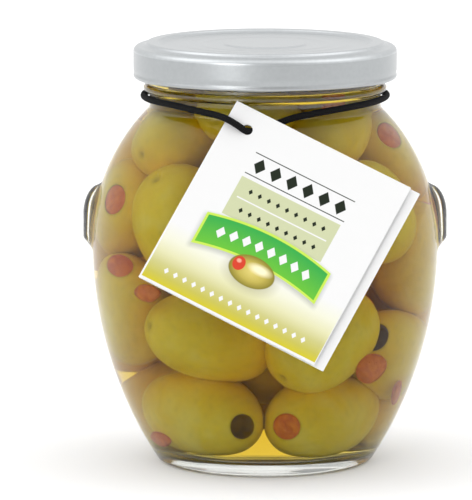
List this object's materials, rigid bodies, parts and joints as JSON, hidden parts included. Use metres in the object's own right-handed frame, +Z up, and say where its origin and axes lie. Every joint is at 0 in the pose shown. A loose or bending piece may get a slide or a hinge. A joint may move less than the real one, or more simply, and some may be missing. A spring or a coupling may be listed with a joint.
{
  "type": "jar of olives",
  "caption": "Bellied glass jar of stuffed green olives in brine, with small ears, a twist-off metal lid and a folded card tag on an elastic cord.",
  "frame": {"origin": "centre of the jar's foot, on the surface it stands on", "axes": "+Z up along the jar's axis, -Y the front that the tag faces, the two ears at -X and +X"},
  "size_m": [0.1096, 0.1237, 0.1273],
  "materials": {
    "glass": "gloss",
    "lid_metal": "satin",
    "brine": "gloss",
    "olive": "gloss",
    "pepper": "satin",
    "card": "satin",
    "elastic": "matte"
  },
  "bodies": {
    "root": {"jar": "glass", "lid": "lid_metal", "brine": "brine", "tag": "card", "cord": "elastic", "knot": "elastic"}
  },
  "joints": []
}
